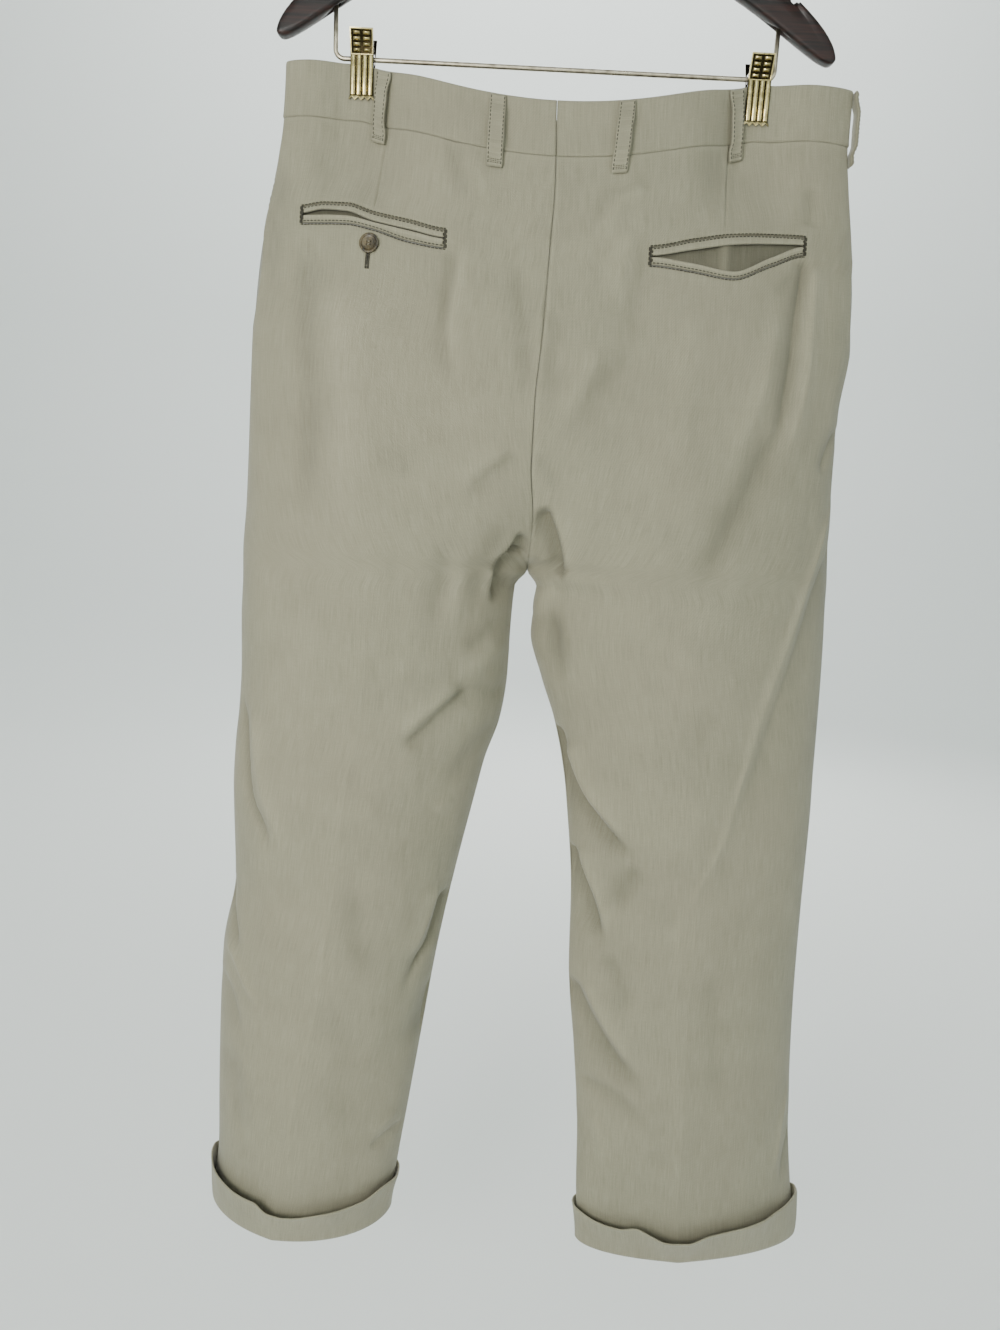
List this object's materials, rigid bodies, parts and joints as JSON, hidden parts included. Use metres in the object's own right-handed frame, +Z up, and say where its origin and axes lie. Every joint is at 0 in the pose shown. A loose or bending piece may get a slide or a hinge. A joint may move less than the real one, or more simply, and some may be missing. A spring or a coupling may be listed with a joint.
{
  "type": "chinos on a clip hanger",
  "caption": "Pale khaki cotton chinos with welt back pockets and turn-up cuffs, hanging by the waistband from brass clips on the wire bar of a dark wooden hanger",
  "frame": {"origin": "top of the inside of the hook's curve, where it hangs on a rail", "axes": "+Z up, the seat of the chinos faces -Y, and +X is the wearer's right"},
  "size_m": [0.5983, 0.1372, 1.253],
  "materials": {
    "cloth": "brushed slub twill",
    "horn": "mottled horn",
    "clip_metal": "polished",
    "wire_metal": "satin",
    "wood": "dark lacquer"
  },
  "bodies": {
    "root": {"back_left": "cloth", "back_right": "cloth", "front_left": "cloth", "front_right": "cloth", "waistband_left": "cloth", "waistband_right": "cloth", "cuff_left": "cloth", "cuff_right": "cloth", "front_pocket_facing_left": "cloth", "front_pocket_facing_right": "cloth", "pocket_left_welt_upper": "cloth", "pocket_left_welt_lower": "cloth", "pocket_left_facing": "cloth", "pocket_right_welt_upper": "cloth", "pocket_right_welt_lower": "cloth", "pocket_right_facing": "cloth", "belt_loop_back_1": "cloth", "belt_loop_back_2": "cloth", "belt_loop_back_3": "cloth", "belt_loop_back_4": "cloth", "belt_loop_side_left": "cloth", "belt_loop_side_right": "cloth", "belt_loop_front_left": "cloth", "belt_loop_front_right": "cloth", "fly_flap": "cloth", "back_pocket_button": "horn", "waist_button": "horn", "clip_left_front": "clip_metal", "clip_left_back": "clip_metal", "clip_left_spring": "clip_metal", "clip_right_front": "clip_metal", "clip_right_back": "clip_metal", "clip_right_spring": "clip_metal", "clip_bar": "wire_metal", "hook": "wire_metal", "hanger_wood": "wood"}
  },
  "joints": []
}
